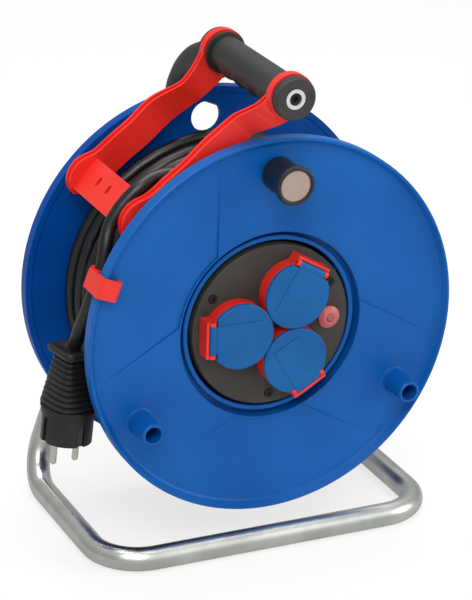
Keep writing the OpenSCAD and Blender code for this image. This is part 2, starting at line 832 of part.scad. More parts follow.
// Places what is drawn for one socket: +Z to the front, +X to its hinge
module on_socket(i) {
    on_drum() at_polar(socket_at, socket_angles[i]) children();
}

module socket_dish() {
    color("#3b3b3a") on_drum() difference() {
        union() {
            rotate_extrude() polygon([[0, dish_z - dish_t],
                [dish_r - 2, dish_z - dish_t], [dish_r - 2, dish_z - dish_skirt],
                [dish_r, dish_z - dish_skirt], [dish_r, dish_z - 0.8],
                [dish_r - 0.8, dish_z], [0, dish_z]]);
        }
        for (a = socket_angles) at_polar(socket_at, a)
            disc(insert_r + snug, dish_z - dish_t - eps, dish_z + eps);
        for (a = dish_screw_angles) at_polar(dish_screw_at, a) {
            disc(dish_screw_d / 2 + snug, dish_z - dish_t - eps, dish_z + eps);
            disc(3.4 + snug, dish_z - 1.2, dish_z + eps);
        }
        at_polar(reset_at, 0)
            disc(reset_r - 1.5, dish_z - dish_t - eps, dish_z + eps);
    }
}

module dish_screws() {
    color("black") on_drum() for (a = dish_screw_angles)
        at_polar(dish_screw_at, a) difference() {
            union() {
                disc(dish_screw_d / 2, dish_z - dish_t - 11, dish_z - 1.2);
                disc(3.4, dish_z - 1.2, dish_z + 0.8);
            }
            for (b = [0, 90]) rotate([0, 0, b])
                translate([-2, -0.4, dish_z]) cube([4, 0.8, 2]);
        }
}

// Collar round a plug recess, with a hinge yoke on its outer side
module socket_frame(i) {
    color("#e0251f") on_socket(i) difference() {
        union() {
            disc(collar_r, dish_z, collar_z);
            translate([insert_r - 5, -ear_in - ear_w, dish_z])
                cube([bar_out - insert_r + 5, 2 * (ear_in + ear_w),
                    hinge_z - hinge_r - seat - dish_z]);
            translate([bar_out - 2, -ear_in - ear_w, dish_z])
                cube([2, 2 * (ear_in + ear_w), hinge_z + 0.6 - dish_z]);
            for (s = [-1, 1]) translate([0, s * (ear_in + ear_w / 2), 0])
                rotate([90, 0, 0]) translate([0, 0, -ear_w / 2]) {
                    translate([hinge_at, hinge_z, 0])
                        cylinder(r = hinge_r + 0.2, h = ear_w);
                    translate([hinge_at - hinge_r - 0.2, dish_z, 0])
                        cube([bar_out - hinge_at + hinge_r + 0.2,
                            hinge_z - dish_z, ear_w]);
                }
        }
        disc(insert_r + snug, dish_z - eps, collar_z + eps);
        translate([insert_r - 7, -ear_in, hinge_z - hinge_r - seat])
            cube([bar_out - 2 - insert_r + 7, 2 * ear_in, 20]);
        translate([hinge_at, 0, hinge_z]) rotate([90, 0, 0])
            translate([0, 0, -tab_w]) cylinder(r = hinge_pin_d / 2 + 0.02,
                h = 2 * tab_w);
    }
}

module socket_frame_a() { socket_frame(0); }
module socket_frame_b() { socket_frame(1); }
module socket_frame_c() { socket_frame(2); }

insert_top = hinge_z - hinge_r - seat;

// Recessed plug seat with two pin holes and two guide ribs
module socket_insert(i) {
    color("#262626") on_socket(i) difference() {
        union() {
            ring(insert_r, recess_r, recess_z - 0.1, insert_top);
            disc(insert_r, recess_z - 12, recess_z);
            for (a = [90, 270]) at_polar(recess_r - 1.6, a)
                translate([0, -2, recess_z - 1]) cube([2, 4, insert_top - recess_z - 2]);
        }
        for (s = [-1, 1]) translate([0, s * pin_pitch / 2, 0])
            disc(pin_d / 2 + 0.3, recess_z - 10, recess_z + eps);
    }
}

module socket_insert_a() { socket_insert(0); }
module socket_insert_b() { socket_insert(1); }
module socket_insert_c() { socket_insert(2); }

// Two sprung earth strips at the sides of each recess
module earth_clips() {
    color("silver") for (i = [0 : 2]) on_socket(i) for (a = [0, 180])
        at_polar(recess_r - 1.5, a) {
            translate([0.3, -2.2, recess_z]) cube([1, 4.4, 11]);
            translate([-0.6, -2.2, recess_z + 4]) cube([1.2, 4.4, 4]);
        }
}

module hinge_pins() {
    color("silver") for (i = [0 : 2]) on_socket(i)
        translate([hinge_at, 0, hinge_z]) rotate([90, 0, 0])
            translate([0, 0, -ear_in - ear_w])
                cylinder(r = hinge_pin_d / 2, h = 2 * (ear_in + ear_w));
}

// Round lid with a hinge barrel, a raised strip and a sealing ring below
module lid(i) {
    top = lid_z + lid_t;
    color("#0d5cad") on_socket(i) difference() {
        union() {
            difference() {
                union() {
                    disc(lid_r, lid_z, top - 0.5);
                    translate([0, 0, top - 0.5])
                        cylinder(r1 = lid_r, r2 = lid_r - 0.8, h = 0.5);
                    ring(recess_r - 0.6, recess_r - 2, lid_z - 1.4, lid_z + 1);
                }
                translate([hinge_at - hinge_r - 0.8, -lid_r, lid_z - eps])
                    cube([lid_r, 2 * lid_r, lid_t + 1]);
            }
            translate([hinge_at, 0, hinge_z]) rotate([90, 0, 0])
                translate([0, 0, -tab_w / 2]) cylinder(r = hinge_r, h = tab_w);
            translate([hinge_at - hinge_r - 1, -tab_w / 2, hinge_z])
                cube([hinge_r + 1, tab_w, top - hinge_z]);
            translate([-lid_r + 9, -tab_w / 2, top - 0.5])
                cube([lid_r + hinge_at - hinge_r - 9, tab_w, 0.9]);
        }
        disc(recess_r - 2, lid_z - 2, lid_z + 1);
        translate([hinge_at, 0, hinge_z]) rotate([90, 0, 0])
            translate([0, 0, -tab_w]) cylinder(r = hinge_pin_d / 2 + 0.08,
                h = 2 * tab_w);
    }
}

module lid_a() { lid(0); }
module lid_b() { lid(1); }
module lid_c() { lid(2); }

// ---- Overload switch ----

module reset_cover() {
    color("#e06a74") on_drum() at_polar(reset_at, 0) difference() {
        union() {
            disc(reset_r, dish_z, dish_z + 2);
            translate([0, 0, dish_z + 2])
                cylinder(r1 = reset_r, r2 = reset_r - 3.4, h = 2.4);
        }
        disc(reset_d / 2 + seat, dish_z - eps, dish_z + 5);
        translate([0, 0, dish_z - eps]) cylinder(r1 = reset_r - 1.6,
            r2 = reset_r - 4.4, h = 3);
    }
}

module reset_button() {
    color("#9c3c48") on_drum() at_polar(reset_at, 0) {
        disc(reset_d / 2, dish_z - dish_t, dish_z + 4.6);
        translate([0, 0, dish_z + 4.6])
            cylinder(r1 = reset_d / 2, r2 = reset_d / 2 - 1, h = 0.8);
        disc(reset_d / 2 + 1, dish_z - dish_t - 1.2, dish_z - dish_t + 1);
    }
}

module breaker() {
    z = dish_z - dish_t;
    color("#262626") on_drum() at_polar(reset_at, 0) difference() {
        disc(reset_r + 1.5, z - 20, z);
        disc(reset_d / 2 + 1 + seat, z - reset_travel - 2, z + eps);
    }
}

// ---- Winding knob ----

module knob_spindle() {
    color("silver") on_drum() at_polar(knob_at, knob_angle) {
        disc(2.5, inner_z + seat + snug, face_z + 2);
        disc(4, face_z + 2, knob_end - 5.5);
        disc(6.5, knob_end - 5.5, knob_end - 3);
    }
}

// Round hollow-fronted knob that spins on the spindle
module knob() {
    b = knob_d / 2;
    r = knob_end_d / 2;
    z = face_z + 2 + seat;
    color("#232427") on_drum() at_polar(knob_at, knob_angle)
        rotate_extrude() polygon([[4.06, z], [b - 0.8, z], [b, z + 0.8],
            [b, lip_z + 6], [b + 0.3, knob_end - 12], [b + 0.9, knob_end - 8],
            [r - 0.4, knob_end - 4.5], [r, knob_end - 3.2],
            [r, knob_end - 1.6], [r - 0.5, knob_end - 0.5],
            [r - 1.6, knob_end], [r - 3.2, knob_end - 0.6],
            [r - 3.2, knob_end - 2.4], [7, knob_end - 2.4],
            [7, knob_end - 5.8], [4.06, knob_end - 5.8]]);
}

module knob_disc() {
    color("#d8d2c4") on_drum() at_polar(knob_at, knob_angle)
        disc(knob_end_d / 2 - 3.2 - snug, knob_end - 2.4, knob_end - 1.2);
}

foot_tube();
hub_bracket();
shoulder();
bracket_screws();
axle();
axle_nut();
axle_washer();
axle_screw();
grip_tube();
grip();
grip_cap();
grip_ferrule();
grip_screw();
cable_guide();
cable_clip();
free_cord();
plug_boot();
plug_body();
plug_pins();
plug_earth();
front_flange();
rear_flange();
core_barrel();
core_screws();
bearing_bush();
wound_cord();
cord_gland();
socket_dish();
dish_screws();
socket_frame_a();
socket_frame_b();
socket_frame_c();
socket_insert_a();
socket_insert_b();
socket_insert_c();
earth_clips();
hinge_pins();
lid_a();
lid_b();
lid_c();
reset_cover();
reset_button();
breaker();
knob_spindle();
knob();
knob_disc();
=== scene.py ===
"""A cord reel on its tube stand, dressed for a studio view."""

import math

import bmesh
import bpy
from mathutils import Matrix, Vector


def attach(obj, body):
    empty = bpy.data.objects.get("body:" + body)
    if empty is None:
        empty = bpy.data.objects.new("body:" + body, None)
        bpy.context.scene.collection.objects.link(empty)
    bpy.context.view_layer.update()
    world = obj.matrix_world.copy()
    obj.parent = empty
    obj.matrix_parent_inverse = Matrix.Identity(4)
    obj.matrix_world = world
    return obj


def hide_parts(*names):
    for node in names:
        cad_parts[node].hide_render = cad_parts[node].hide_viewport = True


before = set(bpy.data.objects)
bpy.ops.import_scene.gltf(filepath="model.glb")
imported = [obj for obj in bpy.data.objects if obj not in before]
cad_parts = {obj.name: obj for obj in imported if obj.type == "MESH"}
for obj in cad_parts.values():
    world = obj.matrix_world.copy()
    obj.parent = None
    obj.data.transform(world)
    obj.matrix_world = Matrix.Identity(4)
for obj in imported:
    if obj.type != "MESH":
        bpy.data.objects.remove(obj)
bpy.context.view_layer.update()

# ---- Studio ----
# A white sweep of paper under three soft lamps, with a long lens above the reel and two
# metres back. The paper stays white in the view and still takes the reel's soft shadow.

DRUM_MIDDLE, AXLE_HEIGHT = -9.75, 174.0
VIEW_AZIMUTH, VIEW_ELEVATION, VIEW_ROLL = map(math.radians, (-25.175, 22.133, 1.565))
VIEW_DISTANCE, VIEW_AIM = 2.0289, (0.946, 0, -4.518)
FOCAL_PIXELS, PICTURE_PIXELS, SENSOR = 2703.3, 600, 36
PAPER_HALF_SIDE = 9


def at(x, forward, height):
    """A point given in millimetres from the drum's centre, with forward towards the sockets."""
    return Vector((x / 1000, (DRUM_MIDDLE - forward) / 1000, (AXLE_HEIGHT + height) / 1000))


def paint(red, green, blue):
    """A colour's strength in light, from its usual 0 to 255 values."""
    return tuple(
        c / 12.92 if c <= 0.04045 else ((c + 0.055) / 1.055) ** 2.4
        for c in (v / 255 for v in (red, green, blue))
    ) + (1.0,)


class Wire:
    """A node's output. Arithmetic on it adds the Math nodes that it needs."""

    def __init__(self, tree, out=None):
        self.tree, self.out = tree, out

    def node(self, kind, settings=None, take=0, **values):
        """A new node: its settings first, then its sockets, by name or by place as in_2."""
        made = self.tree.nodes.new(kind)
        for key, value in (settings or {}).items():
            if key == "stops":
                ramp = made.color_ramp.elements
                for place, _ in value[2:]:
                    ramp.new(place)
                for stop, (place, colour) in zip(ramp, value):
                    stop.position, stop.color = place, colour
            else:
                setattr(made, key, value)
        for key, value in values.items():
            known = int(key[3:]) if key.startswith("in_") else key.replace("_", " ")
            if isinstance(value, Wire):
                self.tree.links.new(value.out, made.inputs[known])
            else:
                made.inputs[known].default_value = value
        return Wire(self.tree, made.outputs[take])

    def also(self, name):
        """Another output of the same node."""
        return Wire(self.tree, self.out.node.outputs[name])

    def math(self, operation, *others):
        terms = {f"in_{i}": term for i, term in enumerate((self, *others))}
        return self.node("ShaderNodeMath", {"operation": operation}, **terms)

    def __add__(self, other):
        return self.math("ADD", other)

    def __sub__(self, other):
        return self.math("SUBTRACT", other)

    def __rsub__(self, other):
        return self * -1.0 + other

    def __mul__(self, other):
        return self.math("MULTIPLY", other)

    def __truediv__(self, other):
        return self.math("DIVIDE", other)

    __radd__, __rmul__ = __add__, __mul__

    def axes(self):
        """A vector's three numbers."""
        made = self.node("ShaderNodeSeparateXYZ", Vector=self)
        return [made.also(axis) for axis in "XYZ"]

    def ramp(self, low, high):
        """0 below low, 1 above high, and a smooth rise between them."""
        settings = {"interpolation_type": "SMOOTHSTEP"}
        return self.node("ShaderNodeMapRange", settings, in_0=self, in_1=low, in_2=high)

    def mix(self, first, second):
        """The first colour where this is 0, and the second where it is 1."""
        settings = {"data_type": "RGBA"}
        return self.node("ShaderNodeMix", settings, 2, in_0=self, in_6=first, in_7=second)

    def noise(self, scale, detail=2.0, stretch=(1, 1, 1)):
        """Cloudy noise on this place, with its blobs so many to a metre."""
        place = self.node("ShaderNodeVectorMath", {"operation": "MULTIPLY"}, in_0=self, in_1=stretch)
        return self.node("ShaderNodeTexNoise", Vector=place, Scale=scale, Detail=detail)

    def bump(self, depth):
        """The normal of a surface whose height is this, up to a depth in metres."""
        return self.node("ShaderNodeBump", Height=self, Distance=depth, Strength=1.0)


def added(name, data):
    """A new object in the scene."""
    made = bpy.data.objects.new(name, data)
    bpy.context.collection.objects.link(made)
    return made


ahead = Vector((
    -math.sin(VIEW_AZIMUTH) * math.cos(VIEW_ELEVATION),
    math.cos(VIEW_AZIMUTH) * math.cos(VIEW_ELEVATION),
    -math.sin(VIEW_ELEVATION),
))
level = Vector((math.cos(VIEW_AZIMUTH), math.sin(VIEW_AZIMUTH), 0))
upright = level.cross(ahead)
right = level * math.cos(VIEW_ROLL) + upright * math.sin(VIEW_ROLL)
lens = bpy.data.cameras.new("lens")
lens.lens = FOCAL_PIXELS / PICTURE_PIXELS * SENSOR
lens.clip_start, lens.clip_end = 0.05, 50
camera = added("camera", lens)
turn = Matrix((right, right.cross(ahead), -ahead)).transposed()
stand_off = Matrix.Translation(at(*VIEW_AIM) - ahead * VIEW_DISTANCE)
camera.matrix_world = stand_off @ turn.to_4x4()
bpy.context.scene.camera = camera
bpy.context.scene.view_settings.view_transform = "Standard"

for name, spot, width, power in (
    ("key_lamp", (-0.9, -1.6, 1.9), 1.3, 29),
    ("fill_lamp", (1.7, -1.1, 0.9), 1.2, 12),
    ("top_lamp", (0.1, 0.4, 2.2), 1.6, 31),
):
    lamp = bpy.data.lights.new(name, "AREA")
    lamp.size, lamp.energy = width, power
    holder = added(name, lamp)
    holder.location = spot
    holder.rotation_euler = (at(0, 0, 0) - Vector(spot)).to_track_quat("-Z", "Y").to_euler()

# The room's light: pale paper in what mirrors it, and a softer grey on what doesn't
world = bpy.data.worlds.new("room")
bpy.context.scene.world = world
world.use_nodes = True
air = Wire(world.node_tree)
toward = air.node("ShaderNodeTexCoord", take="Generated").axes()
seen = air.node("ShaderNodeLightPath", take="Is Camera Ray")
glint = seen.also("Is Glossy Ray").math("MAXIMUM", seen.also("Is Transmission Ray"))
front_light = (0 - toward[1]).ramp(0.3, 0.9) * toward[2].ramp(0.0, 0.35)
paper = front_light * 0.5 + toward[2].ramp(0.2, 0.9) * 0.2 + 0.38
soft = 0.32 + toward[2].ramp(-0.2, 0.9) * 0.24
shine = glint * paper + (1 - glint) * soft
strength = seen + (1 - seen) * shine
backing = world.node_tree.nodes["Background"]
backing.inputs["Color"].default_value = (1, 1, 1, 1)
world.node_tree.links.new(strength.out, backing.inputs["Strength"])

sweep = bpy.data.meshes.new("paper_sweep")
corners = [(x * PAPER_HALF_SIDE, y * PAPER_HALF_SIDE, 0) for x, y in ((-1, -1), (1, -1), (1, 1), (-1, 1))]
sweep.from_pydata(corners, [], [(0, 1, 2, 3)])
floor = added("paper_sweep", sweep)
card = bpy.data.materials.new("white_paper")
card.use_nodes = True
sheet = Wire(card.node_tree)
rays = sheet.node("ShaderNodeLightPath", take="Is Camera Ray")
mirrored = rays.also("Is Glossy Ray")
lit = card.node_tree.nodes["Principled BSDF"]
fibre = sheet.node("ShaderNodeTexCoord", take="Object").noise(400, 3)
pulp = fibre.mix(paint(236, 236, 234), paint(240, 240, 239))
card.node_tree.links.new(pulp.out, lit.inputs["Base Color"])
lit.inputs["Roughness"].default_value = 0.9
lit.inputs["Specular IOR Level"].default_value = 0.1
glow = sheet.node("ShaderNodeEmission", Color=(1, 1, 1, 1), Strength=1.02)
dusk = sheet.node("ShaderNodeEmission", Color=(1, 1, 1, 1), Strength=0.42)
plain = Wire(card.node_tree, lit.outputs[0])
bright = sheet.node("ShaderNodeMixShader", in_0=rays * 0.72, in_1=plain, in_2=glow)
both = sheet.node("ShaderNodeMixShader", in_0=mirrored * 0.75, in_1=bright, in_2=dusk)
card.node_tree.links.new(both.out, card.node_tree.nodes["Material Output"].inputs["Surface"])
sweep.materials.append(card)

# ---- Foot and uprights ----
# One length of steel tube, bent cold into the foot and the two uprights and zinc plated
# after bending. Its shine runs in soft streaks along the tube, with a faint grey bloom.


def finish(lay):
    """A material, from a function of its name that turns a place into the shader's values."""
    made = bpy.data.materials.new(lay.__name__)
    made.use_nodes = True
    shader = made.node_tree.nodes["Principled BSDF"]
    place = Wire(made.node_tree).node("ShaderNodeTexCoord", take="Object")
    for key, value in lay(place).items():
        if isinstance(value, Wire):
            made.node_tree.links.new(value.out, shader.inputs[key])
        else:
            shader.inputs[key].default_value = value
    return made


def dress(material, *nodes):
    """Gives CAD nodes a material."""
    for node in nodes:
        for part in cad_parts[node].material_slots:
            part.material = material


def zinc_tube(place):
    _, y, z = place.axes()
    across = place.noise(70, 4, (0.04, 1, 1))
    along = place.noise(70, 4, (1, 0.04, 1))
    upward = place.noise(70, 4, (1, 1, 0.05))
    front, risen = y.ramp(-0.07, -0.082), z.ramp(0.02, 0.035)
    streak = (front * across + (1 - front) * along) * (1 - risen) + upward * risen
    bloom = place.noise(38, 3)
    return {
        "Base Color": bloom.ramp(0.35, 0.7).mix(paint(206, 209, 204), paint(226, 228, 223)),
        "Metallic": 1.0,
        "Roughness": 0.22 + streak.ramp(0.3, 0.75) * 0.12 + bloom * 0.06,
        "Normal": (streak + place.noise(900, 2) * 0.15).bump(0.00007),
    }


dress(finish(zinc_tube), "foot_tube")

# ---- Brackets ----
# Two mouldings of glass-filled nylon: one carries the axle between the uprights, the other
# caps them and ends in the elbow under the grip. Spark-eroded moulds leave a fine grain.


def black_nylon(place):
    grain = place.noise(1500, 3)
    cloud = place.noise(30, 2)
    return {
        "Base Color": cloud.ramp(0.3, 0.7).mix(paint(24, 24, 26), paint(31, 31, 33)),
        "Roughness": 0.42 + grain.ramp(0.35, 0.65) * 0.14,
        "Specular IOR Level": 0.45,
        "Normal": grain.bump(0.00006),
    }


dress(finish(black_nylon), "hub_bracket", "shoulder")

# ---- Screws, nuts and washers ----
# Bought-in steel fasteners with a bright zinc plating, turned and stamped, so the heads
# show faint rings and small scuffs.


def bright_zinc(place):
    scuff = place.noise(700, 3, (1, 1, 0.3))
    return {
        "Base Color": scuff.ramp(0.3, 0.7).mix(paint(192, 192, 190), paint(216, 215, 210)),
        "Metallic": 1.0,
        "Roughness": 0.22 + scuff * 0.2,
        "Normal": scuff.bump(0.00004),
    }


dress(
    finish(bright_zinc),
    "bracket_screws", "axle_nut", "axle_washer", "axle_screw", "core_screws",
)

# ---- Axle and its bush ----
# A turned steel axle that stays still, inside a nylon bush pressed into the drum's hub.
# Turning leaves fine rings round the steel, and the nylon is milky and smooth.

TURNING_RINGS = 9000


def turned_steel(place):
    _, y, _ = place.axes()
    rings = (y * TURNING_RINGS).math("SINE") * 0.5 + 0.5
    tint = place.noise(120, 2)
    return {
        "Base Color": tint.mix(paint(176, 176, 174), paint(196, 196, 194)),
        "Metallic": 1.0,
        "Roughness": 0.24 + tint * 0.12,
        "Normal": (rings * 0.5 + place.noise(1200, 2) * 0.5).bump(0.00003),
    }


def milky_nylon(place):
    cloud = place.noise(60, 3)
    return {
        "Base Color": cloud.mix(paint(228, 225, 214), paint(238, 236, 228)),
        "Roughness": 0.34 + cloud * 0.12,
        "Normal": place.noise(900, 2).bump(0.00003),
    }


dress(finish(turned_steel), "axle", "grip_tube", "knob_spindle")
dress(finish(milky_nylon), "bearing_bush")

# ---- Grip ----
# A soft black sleeve with a flange at each end and finger waves below, pushed on the grip
# tube. A capped ring, a bright steel ring and a socket screw close its front end.

GRIP_HEIGHT = AXLE_HEIGHT + 181
CAP_RING_PITCH = 0.0011


def soft_sleeve(place):
    grain = place.noise(1100, 3)
    wear = place.noise(26, 3, (1, 0.5, 1))
    return {
        "Base Color": wear.ramp(0.35, 0.7).mix(paint(38, 38, 38), paint(50, 49, 48)),
        "Roughness": 0.4 + grain.ramp(0.3, 0.7) * 0.14,
        "Specular IOR Level": 0.5,
        "Normal": grain.bump(0.00009),
    }


def ringed_cap(place):
    x, _, z = place.axes()
    rise = z - GRIP_HEIGHT / 1000
    reach = (x * x + rise * rise).math("SQRT")
    rings = (reach * (2 * math.pi / CAP_RING_PITCH)).math("SINE") * 0.5 + 0.5
    grain = place.noise(1500, 2)
    return {
        "Base Color": grain.mix(paint(46, 45, 44), paint(58, 56, 54)),
        "Roughness": 0.44 + grain * 0.1,
        "Specular IOR Level": 0.4,
        "Normal": (rings * 0.8 + grain * 0.2).bump(0.00022),
    }


def blackened_steel(place):
    scuff = place.noise(900, 3)
    return {
        "Base Color": scuff.ramp(0.5, 0.8).mix(paint(28, 28, 29), paint(58, 57, 55)),
        "Metallic": 0.4,
        "Roughness": 0.3 + scuff * 0.14,
        "Normal": scuff.bump(0.00003),
    }


dress(finish(soft_sleeve), "grip")
dress(finish(ringed_cap), "grip_cap")
dress(finish(blackened_steel), "grip_screw", "dish_screws")


def washed_steel(place):
    scuff = place.noise(300, 3)
    return {
        "Base Color": scuff.mix(paint(232, 232, 230), paint(246, 246, 244)),
        "Metallic": 0.7,
        "Roughness": 0.3 + scuff * 0.12,
        "Normal": place.noise(1600, 2).bump(0.00002),
    }


dress(finish(washed_steel), "grip_ferrule")

# ---- Cable guide and clip ----
# Both are red polypropylene mouldings. The guide hangs by two rings from the grip's ends,
# and the clip is sprung over the front flange's rim to hold the cord.


def red_moulding(place):
    flow = place.noise(16, 2, (1, 1, 0.4))
    skin = place.noise(420, 2)
    return {
        "Base Color": flow.ramp(0.3, 0.7).mix(paint(220, 36, 28), paint(232, 48, 36)),
        "Roughness": 0.3 + flow * 0.1,
        "Specular IOR Level": 0.4,
        "Subsurface Weight": 0.04,
        "Subsurface Radius": (0.006, 0.001, 0.0006),
        "Normal": (skin * 0.6 + place.noise(1600, 2) * 0.4).bump(0.00005),
    }


RED = finish(red_moulding)
dress(RED, "cable_guide", "cable_clip", "socket_frame_a", "socket_frame_b", "socket_frame_c")

# ---- Front flange ----
# Flange, bowl, posts and rim in one shot of blue polypropylene. The mould's polish gives a
# satin face, the flow of the plastic shows as faint paler fans, and use leaves hair scratches.


def blue_front(place):
    fan = place.noise(11, 2)
    ripple = place.noise(70, 2)
    scratch = place.noise(260, 3, (1, 1, 0.06)).ramp(0.62, 0.75)
    return {
        "Base Color": fan.ramp(0.3, 0.75).mix(paint(3, 82, 158), paint(7, 91, 169)),
        "Roughness": 0.32 + ripple * 0.08 + scratch * 0.06,
        "Specular IOR Level": 0.2,
        "Normal": (ripple * 0.75 + place.noise(1300, 2) * 0.25).bump(0.00012),
    }


dress(finish(blue_front), "front_flange")

# ---- Rear flange and core ----
# The same blue plastic, a shade deeper. The core is screwed to the rear flange, and the
# winding has polished its surface.


def blue_rear(place):
    fan = place.noise(13, 2)
    ripple = place.noise(60, 2)
    return {
        "Base Color": fan.ramp(0.3, 0.75).mix(paint(2, 66, 146), paint(5, 76, 160)),
        "Roughness": 0.32 + ripple * 0.1,
        "Specular IOR Level": 0.1,
        "Normal": (ripple * 0.75 + place.noise(1300, 2) * 0.25).bump(0.00012),
    }


dress(finish(blue_rear), "rear_flange", "core_barrel")

# ---- Wound cord ----
# 22 m of rubber-sheathed cord, wound by hand: three close layers of ten turns, and a loose
# one of seven on top that wanders over them. All sizes are in millimetres.

CORD = 10.4
NESTING = 0.93
WANDER_GAIN = 3
WANDER_PATH, WANDER_STEP = 1.1, 0.45


def cord_rubber(place):
    skin = place.noise(1700, 3)
    dust = place.noise(90, 3)
    return {
        "Base Color": dust.ramp(0.5, 0.8).mix(paint(17, 17, 17), paint(29, 28, 27)),
        "Roughness": 0.27 + skin.ramp(0.3, 0.7) * 0.14,
        "Specular IOR Level": 0.5,
        "Normal": skin.bump(0.00008),
    }


RUBBER = finish(cord_rubber)


def grown(name, tree, inputs, body):
    """A plain mesh piece from a geometry tree, with its inputs set by name."""
    piece = added(name, bpy.data.meshes.new(name))
    way = piece.modifiers.new("grow", "NODES")
    way.node_group = tree
    known = {s.name: s.identifier for s in tree.interface.items_tree if s.in_out == "INPUT"}
    for key, value in inputs.items():
        way[known[key]] = value
    bpy.context.view_layer.update()
    solved = piece.evaluated_get(bpy.context.evaluated_depsgraph_get())
    made = bpy.data.meshes.new_from_object(solved)
    piece.modifiers.clear()
    piece.data = made
    made.name = name
    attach(piece, body)
    return piece


def new_tree(name, sizes):
    """An empty geometry tree with named number inputs, and the wires that they come in on."""
    tree = bpy.data.node_groups.new(name, "GeometryNodeTree")
    tree.interface.new_socket("Geometry", in_out="OUTPUT", socket_type="NodeSocketGeometry")
    for key, value in sizes.items():
        kind = "NodeSocketInt" if isinstance(value, int) else "NodeSocketFloat"
        tree.interface.new_socket(key, in_out="INPUT", socket_type=kind).default_value = value
    start = Wire(tree)
    entry = start.node("NodeGroupInput")
    return tree, {s.name: Wire(tree, s) for s in entry.out.node.outputs if s.name}


def end_tree(tree, shape, material):
    """Realize Instances and Set Material, then the way out."""
    plain = shape.node("GeometryNodeRealizeInstances", Geometry=shape)
    dressed = plain.node("GeometryNodeSetMaterial", Geometry=plain, Material=material)
    out = tree.nodes.new("NodeGroupOutput")
    tree.links.new(dressed.out, out.inputs[0])


WINDING = {
    "Layers": 3, "Turns": 10, "Top turns": 7, "Steps": 44,
    "Thick": CORD, "Core": 77.9, "Half width": 59.4, "Wander": 9.0,
}
winding, size = new_tree("winding", WINDING)
total = (size["Layers"] * size["Turns"] + size["Top turns"]) * size["Steps"]
line = total.node("GeometryNodeMeshLine", {"mode": "END_POINTS"}, Count=total + 1)
count = line.node("GeometryNodeInputIndex")
turns = count / size["Steps"]
layer = ((turns + 0.0001) / size["Turns"]).math("FLOOR").math("MINIMUM", size["Layers"])
top = layer.ramp(size["Layers"] - 0.6, size["Layers"] - 0.2)
in_layer = size["Turns"] + top * (size["Top turns"] - size["Turns"])
share = (turns - layer * size["Turns"]) / in_layer
odd = layer.math("MODULO", 2.0)
way_across = share * (1 - odd) + (1 - share) * odd
angle = turns * (2 * math.pi)
wander = angle.node(
    "ShaderNodeCombineXYZ",
    X=angle.math("COSINE") * WANDER_PATH, Y=angle.math("SINE") * WANDER_PATH,
    Z=turns * WANDER_STEP,
)
drift = wander.node("ShaderNodeTexNoise", Vector=wander, Scale=1.0, Detail=1.0) - 0.5
climb = (layer + share.ramp(0.97, 1.0)) * (size["Thick"] * NESTING)
reach = size["Core"] + size["Thick"] / 2 + climb
edge = (share * math.pi).math("SINE").math("POWER", 0.5)
sway = drift * top * edge * size["Wander"] * WANDER_GAIN
side = (way_across - 0.5) * (size["Half width"] * 2 - size["Thick"]) + sway
spot = reach.node(
    "ShaderNodeCombineXYZ",
    X=reach * angle.math("COSINE") / 1000,
    Y=(DRUM_MIDDLE - side) / 1000,
    Z=(AXLE_HEIGHT + reach * angle.math("SINE")) / 1000,
)
placed = line.node("GeometryNodeSetPosition", Geometry=line, Position=spot)
run = placed.node("GeometryNodeMeshToCurve", Mesh=placed)
hoop = run.node("GeometryNodeCurvePrimitiveCircle", Resolution=14, Radius=size["Thick"] / 2000)
tube = run.node("GeometryNodeCurveToMesh", Curve=run, in_1=hoop, Fill_Caps=True)
end_tree(winding, tube, RUBBER)
wound = grown("wound_cord_turns", winding, WINDING, "drum")
for face in wound.data.polygons:
    face.use_smooth = True
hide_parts("wound_cord")

# ---- Free cord ----
# The same cord's free end. Its first three points rise out of the winding, from where it
# leaves over the crossbar's front end, passes through the clip and hangs down to the plug.

ROUTE = [
    (38, 39, 97.5), (20, 38.5, 111.5), (0, 38, 119.5),
    (-21, 38, 120.8), (-50, 38, 117.4), (-79.1, 37.5, 116.7), (-95.1, 40.2, 111.3),
    (-106.2, 40.2, 102), (-113.6, 40.2, 93), (-119.2, 41, 83.2), (-123, 44.5, 72.2),
    (-125.9, 46.8, 59.6), (-129.3, 47, 48.3), (-132.6, 46.5, 38.2), (-135.8, 43, 24.4),
    (-138.6, 36, 8.2), (-140.5, 30, -8.6),
]


def eased(points, steps):
    """A smooth line through the points, with so many steps between two of them."""
    line = []
    for i in range(len(points) - 1):
        a, b, c, d = (points[min(max(i + k, 0), len(points) - 1)] for k in (-1, 0, 1, 2))
        for t in (j / steps for j in range(steps)):
            line.append(0.5 * (2 * b + (c - a) * t + (2 * a - 5 * b + 4 * c - d) * t * t
                               + (3 * b - a - 3 * c + d) * t * t * t))
    return line + [points[-1]]


route = eased([at(*p) for p in ROUTE], 3)
strand = bpy.data.curves.new("free_cord_run", "CURVE")
strand.dimensions = "3D"
strand.bevel_depth = CORD / 2000
strand.bevel_resolution = 6
strand.resolution_u = 3
strand.use_fill_caps = True
spline = strand.splines.new("BEZIER")
spline.bezier_points.add(len(route) - 1)
for knot, place in zip(spline.bezier_points, route):
    knot.co = place
    knot.handle_left_type = knot.handle_right_type = "AUTO"
strand.materials.append(RUBBER)
free = added("free_cord_run", strand)
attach(free, "stand")
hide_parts("free_cord")

# ---- Plug ----
# A rubber plug moulded on the cord, with a ribbed boot to hold it by, two plated pins and
# the earth strips in its sides, coloured dull and dark as painted shade from their slots.


def plug_rubber(place):
    skin = place.noise(1300, 3)
    worn = place.noise(110, 3)
    return {
        "Base Color": worn.ramp(0.4, 0.8).mix(paint(20, 20, 19), paint(32, 31, 30)),
        "Roughness": 0.34 + skin * 0.14,
        "Specular IOR Level": 0.5,
        "Normal": skin.bump(0.0001),
    }


